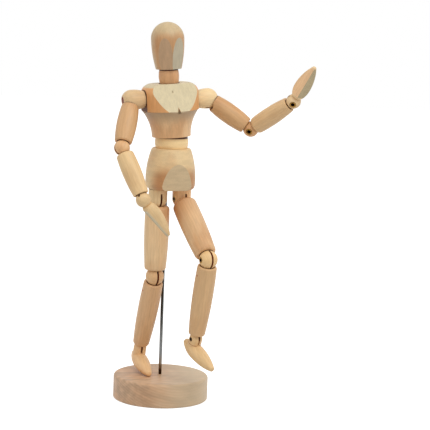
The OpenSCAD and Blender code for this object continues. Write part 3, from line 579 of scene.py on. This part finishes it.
def wood(piece, light, dark, honey=0.3, seed=0.0, ring_share=0.25,
         streak=0.045, stretch=0.12, pith=0.021, coarse=1.0, collar=0.003,
         collar_share=0.9, beside_tone=HONEY, band=None, crown=None, gap_shade_at=None,
         slot=None, seats=()):
    """A turned wooden piece: light and dark set the rings' two tones."""
    finish, tree, shader = new_finish(f"{piece}_wood")
    middle, turned = grain[piece]
    spot = add(tree, "TexCoord").outputs["Object"]
    local = add(tree, "Mapping",
                {"Vector": spot, "Location": middle,
                 "Rotation": turned.to_euler()},
                vector_type="TEXTURE").outputs["Vector"]
    along = add(tree, "SeparateXYZ", {"Vector": local}).outputs["Z"]
    show = textures(tree, local, seed, stretch, pith, coarse)

    ring_tone = maths(tree, "MULTIPLY", show["rings"], ring_share)
    colour = mix(tree, ring_tone, paint(light), paint(dark))
    colour = mix(tree, fade(tree, show["patches"], *PATCH_SPAN, 0.0, honey),
                 colour, paint(HONEY))
    rough = fade(tree, show["fibres"], *FIBRE_SPAN, *WAXED_ROUGH)
    if piece in cuts:
        beside_cut, bare, shown = planed_layers(tree, spot, piece, collar,
                                             collar_share)
        if band:
            colour = banded(tree, colour, along, beside_cut, band, crown, beside_tone)
        if piece.startswith("hand"):
            shown = maths(tree, "MULTIPLY", shown,
                          fade(tree, along, PALM_FROM, PAST_BALL))
        colour = mix(tree, shown, colour, bare)
        rough = maths(tree, "MULTIPLY_ADD", shown, SANDED_MORE, rough)
    colour = fine_grain(tree, colour, show, streak)
    # painted shade at the top of the piece, in the gap under the piece above
    if gap_shade_at:
        colour = mix(tree, fade(tree, along, gap_shade_at + GAP_SHADE_FROM, gap_shade_at + GAP_SHADE_FULL),
                     colour, paint(GAP_SHADE))
    colour = hollow(tree, spot, colour, piece, slot, seats)
    bump = add(tree, "Bump", {"Height": show["fibres"], "Strength": 0.15,
                              "Distance": 0.0001})
    tree.links.new(colour, shader.inputs["Base Color"])
    tree.links.new(rough, shader.inputs["Roughness"])
    tree.links.new(bump.outputs["Normal"], shader.inputs["Normal"])
    shader.inputs["Coat Weight"].default_value = 0.06
    shader.inputs["Coat Roughness"].default_value = 0.35
    return finish


def dress(node, finish):
    """Gives a piece one finish in place of what it came with."""
    nodes[node].data.materials.clear()
    nodes[node].data.materials.append(finish)


print("wood finish ready, its honey is", HONEY)

# %% [markdown]
# ## Stains and painted shade on top
#
# Some marks belong to one place only: painted shade under an edge and inside a
# notch, and a pin knot. They could be layers of the wood finish itself, but
# most pieces have none, so three small functions add them to a finished graph
# by leading the old colour through one more mix.

# %% Tone shifts, stains and painted shade
UNTIL_SOFT = 0.0002
BELOW_FROM, BELOW_FULL = -0.0001, -0.0003


def recolour(finish, amount, tone):
    """Leads the base colour of a finish over to another tone."""
    tree = finish.node_tree
    socket = tree.nodes["Principled BSDF"].inputs["Base Color"]
    old = socket.links[0].from_socket
    tree.links.new(mix(tree, amount, old, paint(tone)), socket)


def shift_tone(finish, direction, low, high, tone, share, until=None):
    """Another tone along a direction, from low to high and on, or until."""
    tree = finish.node_tree
    reach = dot(tree, add(tree, "TexCoord").outputs["Object"], direction)
    amount = fade(tree, reach, low, high, 0.0, share)
    if until is not None:
        amount = maths(tree, "MULTIPLY", amount,
                       fade(tree, reach, until + UNTIL_SOFT, until))
    recolour(finish, amount, tone)


def stain_and_shade(finish, centre, radius, tone, share, under=None, core=0.6):
    """A round mark with a soft rim; under names a cut it must lie below."""
    tree = finish.node_tree
    spot = add(tree, "TexCoord").outputs["Object"]
    amount = fade(tree, distance(tree, spot, centre), radius, core * radius,
                  0.0, share)
    if under:
        depth = maths(tree, "SUBTRACT", dot(tree, spot, under[0]), under[1])
        amount = maths(tree, "MULTIPLY", amount,
                       fade(tree, depth, BELOW_FROM, BELOW_FULL))
    recolour(finish, amount, tone)


print("tone shifts and stains can be added")

# %% [markdown]
# ## The torso
#
# The five torso pieces differ most: a pale brown head, an orange neck, a chest
# with warm painted shade beside its cream cut, and a waist and pelvis whose
# figure lies in soft level bands; neck and waist get painted shade at their
# tops. One shared wood would lose that, so each has its own line of settings.
# Levels are in metres from the waist's pivot, or from the neck's for neck and
# head. A seed that counts on gives each its own stretch of wood.

# %% Dress the torso
SEED_STEP = 0.37
PECTORAL_EDGE = 0.0257

torso = {
    # On head, chest and pelvis the tone beside the cuts is painted warm shade.
    "head": dict(light="CFB087", dark="C29A6C", honey=0.4, collar=0.0035,
                 collar_share=0.5, band=(0.0, 0.034, 0.006), crown="CDB48A",
                 seats=("neck_lean",)),
    # The neck and the waist get painted shade at their tops, in the gaps under head and chest.
    "neck": dict(light="DAA878", dark="CC9664", honey=0.4, gap_shade_at=0.0046),
    "chest": dict(light="ECC392", dark="DEB07F", honey=0.45, collar=0.02,
                  beside_tone="E1A162", band=(PECTORAL_EDGE, 0.0442, 0.0006),
                  crown="D8C6A0", seats=("waist_lean", "neck_nod")),
    "waist": dict(light="FDDCA3", dark="F0C88F", honey=0.2, ring_share=0.06,
                  streak=0.05, stretch=3.0, coarse=0.3, gap_shade_at=0.0034),
    "pelvis": dict(light="E7C998", dark="D8B280", honey=0.35, ring_share=0.06,
                   streak=0.06, stretch=3.0, coarse=0.3, collar=0.012,
                   beside_tone="BC8250", band=(-0.045, -0.021, 0.006)),
}
for number, (piece, look) in enumerate(torso.items()):
    dress(piece, wood(piece, seed=SEED_STEP * number, **look))
print(f"{len(torso)} torso pieces dressed")

# %% [markdown]
# ## Marks on the chest
#
# Painted shade greys the cove under the pectoral edge, and darkens the inside
# of a small notch in the edge. One pin knot sits in the cut: a short dark dash,
# here three round marks in a row, which is simpler than a mark of another
# shape. Their places are given in the chest's own frame.

# %% Mark the chest
COVE_SHADE, NOTCH_SHADE, PIN_KNOT = "A98F6E", "7A6446", "8C7450"
COVE_SHADE_FROM, COVE_SHADE_FULL = 0.013, 0.0245
NOTCH_AT, NOTCH_R = (0, -20.6, 26.6), 0.0034
KNOT_ACROSS, KNOT_R = (-2.1, -13.1), 0.0008
KNOT_LEVEL, KNOT_STEPS = 40.7, (-0.7, 0.0, 0.7)


def spot_on(piece, x, y, z):
    """A place given in millimetres in a piece's own frame."""
    middle, turned = grain[piece]
    return middle + turned @ (Vector((x, y, z)) / 1000)


chest_wood = nodes["chest"].data.materials[0]
front_cut = min(cuts["chest"], key=lambda cut: cut[0].y)
chest_up = grain["chest"][1].col[2]
waist_level = chest_up.dot(grain["chest"][0])
# painted shade in the cove under the pectoral edge
shift_tone(chest_wood, chest_up, waist_level + COVE_SHADE_FROM,
           waist_level + COVE_SHADE_FULL, COVE_SHADE, 0.8,
           until=waist_level + PECTORAL_EDGE)
# painted shade inside the notch
stain_and_shade(chest_wood, spot_on("chest", *NOTCH_AT), NOTCH_R, NOTCH_SHADE, 0.9,
      under=front_cut)
for step in KNOT_STEPS:
    stain_and_shade(chest_wood, spot_on("chest", *KNOT_ACROSS, KNOT_LEVEL + step),
          KNOT_R, PIN_KNOT, 0.5)
print("cove_shade under the edge, a shaded notch and one pin knot")

# %% [markdown]
# ## One stick is not like the next
#
# A figure is put together from a bin of turned pieces, so its balls are pale,
# its thighs honey and its shins browner. One shared material would make them
# all alike. A table of two tones and a share of honey per piece keeps the
# mixture that a bin gives. The edge of the right hand's cuts is pale, so that
# hand has a few settings more.

# %% Dress the limbs
LIMB_SEED = 2.0

limbs = {
    "shoulder_ball_right": ("E2C090", "D6AE7C", 0.1),
    "shoulder_ball_left": ("F6D8A4", "E8C08C", 0.1),
    "upper_arm_right": ("D9AC7A", "C99765", 0.35),
    "upper_arm_left": ("D5A875", "C69460", 0.4),
    "elbow_ball_right": ("EEC08C", "DCA872", 0.4),
    "elbow_ball_left": ("E0AC76", "CE965E", 0.5),
    "forearm_right": ("EECA94", "E2B882", 0.2),
    "forearm_left": ("E2BC8A", "D2A775", 0.25),
    "hand_right": ("E6C490", "DAB482", 0.1),
    "hand_left": ("F0D0A0", "E2BC8A", 0.1),
    "hip_ball_right": ("F0D2A0", "DEB886", 0.15),
    "hip_ball_left": ("FECE94", "E6B074", 0.4),
    "thigh_right": ("EECA9A", "DEB684", 0.3),
    "thigh_left": ("E2B888", "D2A472", 0.45),
    "knee_ball_right": ("E9BD89", "DCAC78", 0.15),
    "knee_ball_left": ("F2CA90", "E4B880", 0.1),
    "shin_right": ("DDB182", "CFA272", 0.25),
    "shin_left": ("DBB281", "CDA372", 0.2),
    "foot_right": ("EEC28D", "E0B07B", 0.1),
    "foot_left": ("EAC48E", "DCB27C", 0.1),
}
slots = {"shoulder_ball": "shoulder_raise", "elbow_ball": "elbow_bend",
         "hand": "wrist_bend", "hip_ball": "hip_lift",
         "knee_ball": "knee_bend", "foot": "ankle_point"}
seats = {"upper_arm": ("shoulder_raise", "elbow_bend"),
         "forearm": ("elbow_bend", "wrist_bend"),
         "thigh": ("hip_lift", "knee_bend"),
         "shin": ("knee_bend", "ankle_point")}
# On the right hand the tone beside the cuts is a pale grey edge.
palm_edge = dict(collar=0.002, collar_share=0.8, beside_tone="CDC5AC",
                 band=(PAST_BALL, 0.05, 0.002))
for number, (node, (light, dark, honey)) in enumerate(limbs.items()):
    piece, _, s = node.rpartition("_")
    more = palm_edge if node == "hand_right" else {}
    dress(node, wood(
        node, light, dark, honey, seed=LIMB_SEED + SEED_STEP * number,
        slot=f"{slots[piece]}_{s}" if piece in slots else None,
        seats=[f"{joint}_{s}" for joint in seats.get(piece, ())], **more))
print(f"{len(limbs)} limb pieces dressed")

# %% [markdown]
# ## Painted shade on the thigh tops
#
# The tops of the thighs get warm painted shade on their inner sides, below the
# hips. That could be a tone along the whole stick, but it fades out within two
# or three centimetres, so one wide and very soft mark in front of and below
# each hip's pivot is enough.

# %% Paint shade on the thighs' tops
THIGH_TOP_SHADE = "C07C42"
FORWARD, DOWN = -0.006, -0.009
THIGH_TOPS = (("right", 0.007, 0.017, 0.55), ("left", -0.008, 0.026, 0.8))

for s, inward, reach, share in THIGH_TOPS:
    stain_and_shade(nodes[f"thigh_{s}"].data.materials[0],
          pivot(f"hip_lift_{s}") + Vector((inward, FORWARD, DOWN)),
          reach, THIGH_TOP_SHADE, share, core=0.1)
print(f"{len(THIGH_TOPS)} warm_shaded thigh tops")

# %% [markdown]
# ## The base
#
# The base is cut across a board, so its streaks lie almost flat and lean a
# little, pinker on one side and yellow-grey on the other. It could have a
# material of its own, but the same wood finish does, with its own tones,
# lying down, and with coarser streaks.

# %% Dress the base
BASE_LIGHT, BASE_RING, BASE_YELLOW = "CAA684", "A87E58", "D2BE9C"
YELLOW_FROM, YELLOW_FULL = -0.015, 0.03

base_wood = wood("base", BASE_LIGHT, BASE_RING, honey=0.2, ring_share=0.26,
                 streak=0.15, stretch=0.08, pith=0.07, coarse=0.5)
shift_tone(base_wood, (1.0, 0.0, 0.0), YELLOW_FROM, YELLOW_FULL,
           BASE_YELLOW, 0.7)
dress("base", base_wood)
print("base dressed")

# %% [markdown]
# ## Metal
#
# The rod is drawn steel, the eyelets are thin rolled brass, and the tongues in
# the slots are strip painted red-brown as the slots' shade. Metal needs little
# colour of its own; fine scratches in the roughness make it look handled
# instead of dipped. An eyelet is a rolled tube, and its hole is painted as a
# near-black disc of shade. The distance from the axis of its hinge tells
# where, so no finer mesh is needed.

# %% Metal finish
SCRATCH_SPAN = (0.3, 0.7)
TARNISH_SPAN, TARNISH_SHARE = (0.45, 0.75), 0.6
HOLE_SHADE_RIM, HOLE_SHADE_FULL = 0.0017, 0.0015


def metal(name, colour, rough_low, rough_high, tarnish,
          scratch_scale=(1, 1, 1), metallic=1.0, hole=None):
    """Scratched, stained metal; hole names the hinge of an eyelet, whose hole is painted as
    near-black shade.
    """
    finish, tree, shader = new_finish(name)
    spot = add(tree, "TexCoord").outputs["Object"]
    drawn = add(tree, "Mapping", {"Vector": spot, "Scale": scratch_scale})
    scratches = add(tree, "TexNoise",
                    {"Vector": drawn.outputs["Vector"], "Scale": 1500.0,
                     "Detail": 3.0}).outputs["Fac"]
    stains = add(tree, "TexNoise", {"Vector": spot, "Scale": 260.0,
                                    "Detail": 2.0}).outputs["Fac"]
    tone = mix(tree, fade(tree, stains, *TARNISH_SPAN, 0.0, TARNISH_SHARE),
               paint(colour), paint(tarnish))
    if hole:
        arm = add(tree, "VectorMath", {0: spot, 1: pivot(hole)},
                  operation="SUBTRACT").outputs["Vector"]
        swept = add(tree, "VectorMath", {0: arm, 1: axis(hole)},
                    operation="CROSS_PRODUCT").outputs["Vector"]
        off_axis = add(tree, "VectorMath", {0: swept},
                       operation="LENGTH").outputs["Value"]
        # painted shade: a near-black disc about the hinge's axis stands for the hole
        tone = mix(tree, fade(tree, off_axis, HOLE_SHADE_RIM, HOLE_SHADE_FULL), tone,
                   paint(DEEP_SHADE))
    tree.links.new(tone, shader.inputs["Base Color"])
    tree.links.new(fade(tree, scratches, *SCRATCH_SPAN,
                        rough_low, rough_high), shader.inputs["Roughness"])
    shader.inputs["Metallic"].default_value = metallic
    return finish


print(f"metal finish ready, eyelet holes {2000 * HOLE_SHADE_FULL} mm wide")

# %% [markdown]
# ## Rod, eyelets and strip
#
# The rod's scratches are drawn out along it, and its foot above the base is
# painted with the base's brown reflection and, in the last few millimetres,
# with near-black painted shade. Each eyelet has its own hole, so each gets a
# material of its own; the tongues, springs and pins can share one.

# %% Dress the metal
STEEL, STEEL_TARNISH = "6A6B6A", "5C574E"
STRIP_SHADE_RED, STRIP_TARNISH = "B4582C", "6E2E18"
BRASS, BRASS_TARNISH = "A07A3C", "5A3E1E"
ALONG_ROD = (1, 1, 0.02)
ROD_FOOT_REFLECTION_AND_SHADE = ((0.02, 0.004, "7A6248", 0.8), (0.006, 0.003, "3A281A", 1.0))


def top_of(node):
    """The height of a piece's highest point."""
    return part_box(node)[1].z


rod_steel = metal("rod_steel", STEEL, 0.06, 0.12, STEEL_TARNISH, ALONG_ROD)
rod_foot = top_of("base")
# painted reflection of the brown base, then near-black painted shade at the foot
for high, low, tone, share in ROD_FOOT_REFLECTION_AND_SHADE:
    shift_tone(rod_steel, -RISE, -rod_foot - high, -rod_foot - low,
               tone, share)
dress("support_rod", rod_steel)

# The strip is painted red-brown as the shade of the slots it sits in; springs and pins share it.
strip_shaded_red = metal("strip_shaded_red", STRIP_SHADE_RED, 0.6, 0.8, STRIP_TARNISH,
                    metallic=0.1)
rivet_hinges = {"elbow": "elbow_bend", "wrist": "wrist_bend",
                "hip": "hip_lift", "knee": "knee_bend",
                "ankle": "ankle_point"}
dressed = 1
for node in nodes:
    words = node.split("_")
    if "rivet" in words:
        dress(node, metal(f"{node}_brass", BRASS, 0.2, 0.4, BRASS_TARNISH,
                          hole=f"{rivet_hinges[words[0]]}_{words[-1]}"))
        dressed += 1
    elif {"tongue", "spring", "pin"} & set(words):
        dress(node, strip_shaded_red)
        dressed += 1
print(f"{dressed} metal pieces dressed")

# %% [markdown]
# ## Hidden plugs
#
# Four small wooden plugs hold the ends of the two springs. They are out of
# sight, and a plain colour would do for that, but whoever takes the figure
# apart finds them, so they get the same wood with plain settings and grain
# along a joint of the spine.

# %% Dress the hidden plugs
FRONT = Vector((0.0, -1.0, 0.0))
PLUG_LIGHT, PLUG_DARK, PLUG_SEED = "E4BE8E", "D6AA7A", 5.0
PLUGS = (("pelvis_plug", "pelvis_turn"), ("spine_plug", "waist_twist"),
         ("chest_plug", "waist_twist"), ("neck_plug", "neck_turn"))

for number, (plug, joint) in enumerate(PLUGS):
    middle = sum(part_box(plug), Vector()) / 2
    grain[plug] = (middle, turning(axis(joint), FRONT))
    dress(plug, wood(plug, PLUG_LIGHT, PLUG_DARK, seed=PLUG_SEED + number))
print(f"{len(PLUGS)} plugs dressed")

# %% [markdown]
# ## White paper and a dark card
#
# The figure stands on white paper that runs out of sight. The paper glows for
# the camera and for reflections only, so that it is white there without
# throwing more light on the wood, and it still takes the figure's shadow. A
# polished rod with nothing but white around it would melt into the paper, so a
# dark card lies in front, which only reflections show.

# %% Lay the paper and the card
PAPER, PAPER_SINK = 3.0, -0.0002
PAPER_WHITE, PAPER_GLOW = 0.6, 0.8
CARD_EDGE, CARD_BLACK = -0.26, 0.01


def sheet(name, corners, height):
    """A flat stage sheet from two opposite corners."""
    (x0, y0), (x1, y1) = corners
    mesh = bpy.data.meshes.new(name)
    mesh.from_pydata([(x0, y0, 0), (x1, y0, 0), (x1, y1, 0), (x0, y1, 0)],
                     [], [(0, 1, 2, 3)])
    lying = bpy.data.objects.new(name, mesh)
    lying.location.z = cad_box[0][2] + height
    scene.collection.objects.link(lying)
    finish, graph, lying_shader = new_finish(name)
    lying_shader.inputs["Roughness"].default_value = 1.0
    lying_shader.inputs["Specular IOR Level"].default_value = 0.0
    mesh.materials.append(finish)
    return lying, graph, lying_shader


def seen_rays(tree):
    """1 for rays that see the backdrop: camera, mirror and glass rays."""
    rays = add(tree, "LightPath").outputs
    direct = maths(tree, "MAXIMUM", rays["Is Camera Ray"],
                   rays["Is Glossy Ray"])
    return maths(tree, "MAXIMUM", direct, rays["Is Transmission Ray"])


_, tree, shader = sheet("white_paper", ((-PAPER, -PAPER), (PAPER, PAPER)),
                        PAPER_SINK)
shader.inputs["Base Color"].default_value = (*[PAPER_WHITE] * 3, 1)
shader.inputs["Emission Color"].default_value = (1, 1, 1, 1)
tree.links.new(maths(tree, "MULTIPLY", seen_rays(tree), PAPER_GLOW),
               shader.inputs["Emission Strength"])
card, _, shader = sheet("dark_card", ((-PAPER, -PAPER), (PAPER, CARD_EDGE)),
                        0.0)
shader.inputs["Base Color"].default_value = (*[CARD_BLACK] * 3, 1)
card.visible_camera = False
card.visible_diffuse = False
card.visible_shadow = False
print(f"paper {2 * PAPER:.0f} m wide, card {-CARD_EDGE} m in front")

# %% [markdown]
# ## A white room and one lamp
#
# A white world lights the figure softly from everywhere. It counts as white
# for the camera and for reflections, but lights the wood at a lower level, so
# that a colour renders about as it was mixed. Several lamps could do that too,
# with more shadows. One wide lamp, above, in front and to the right, gives the
# forms a lighter and a darker side.

# %% World and lamp
FILL = 0.78
LAMP_AT, LAMP_AIM = Vector((0.5, -0.7, 1.35)), Vector((0.0, 0.0, 0.17))
LAMP_SIZE, LAMP_WATTS = (0.9, 0.7), 6.5

world = bpy.data.worlds.new("white_room")
scene.world = world
world.use_nodes = True
tree = world.node_tree
background = tree.nodes["Background"]
background.inputs["Color"].default_value = (1, 1, 1, 1)
tree.links.new(fade(tree, seen_rays(tree), 0.0, 1.0, FILL, 1.0),
               background.inputs["Strength"])

lamp = bpy.data.objects.new("softbox", bpy.data.lights.new("softbox", "AREA"))
lamp.data.shape = "RECTANGLE"
lamp.data.size, lamp.data.size_y = LAMP_SIZE
lamp.data.energy = LAMP_WATTS
lamp.location = LAMP_AT
lamp.rotation_euler = (LAMP_AIM - LAMP_AT).to_track_quat("-Z", "Y").to_euler()
scene.collection.objects.link(lamp)
print(f"fill {FILL}, lamp {LAMP_WATTS} W")
